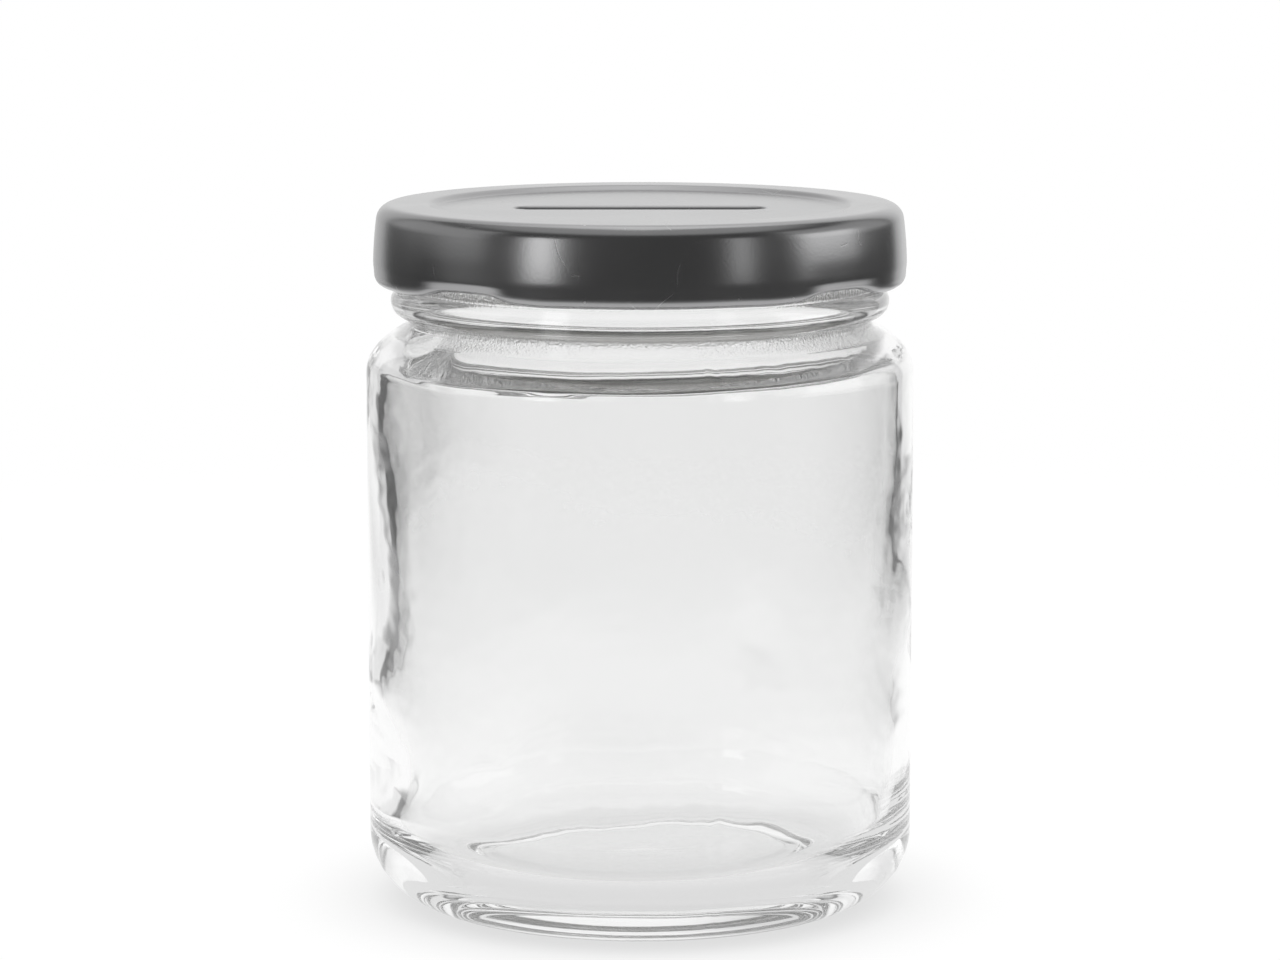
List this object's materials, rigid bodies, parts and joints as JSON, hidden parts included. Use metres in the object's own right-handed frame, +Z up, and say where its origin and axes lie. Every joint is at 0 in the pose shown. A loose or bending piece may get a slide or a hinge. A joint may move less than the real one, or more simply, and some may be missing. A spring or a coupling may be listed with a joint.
{
  "type": "coin bank jar",
  "caption": "Round clear glass jar with a twist-off metal lid that has a coin slot, used as a coin bank.",
  "frame": {"origin": "centre of the base, on the plane that the jar stands on", "axes": "+Z up along the jar's axis; -Y is the front, the side that faces the camera in the picture; the coin slot runs along X"},
  "size_m": [0.075, 0.075, 0.0963],
  "materials": {
    "clear_glass": "clear moulded glass, glossy",
    "tinplate": "lacquered tinplate, satin grey",
    "plastisol": "matt off-white sealing compound"
  },
  "bodies": {
    "jar": {"glass_jar": "clear_glass"},
    "seal": {"sealing_ring": "plastisol"},
    "lid": {"lid": "tinplate"}
  },
  "joints": [
    {"name": "lid_lift", "type": "slide", "parent": "jar", "child": "seal", "axis": [0, 0, 1], "range_m": [0, 0.024]},
    {"name": "lid_twist", "type": "hinge", "parent": "seal", "child": "lid", "pos_m": [0, 0, 0.0955], "axis": [0, 0, 1], "range_deg": [0, 62]}
  ]
}
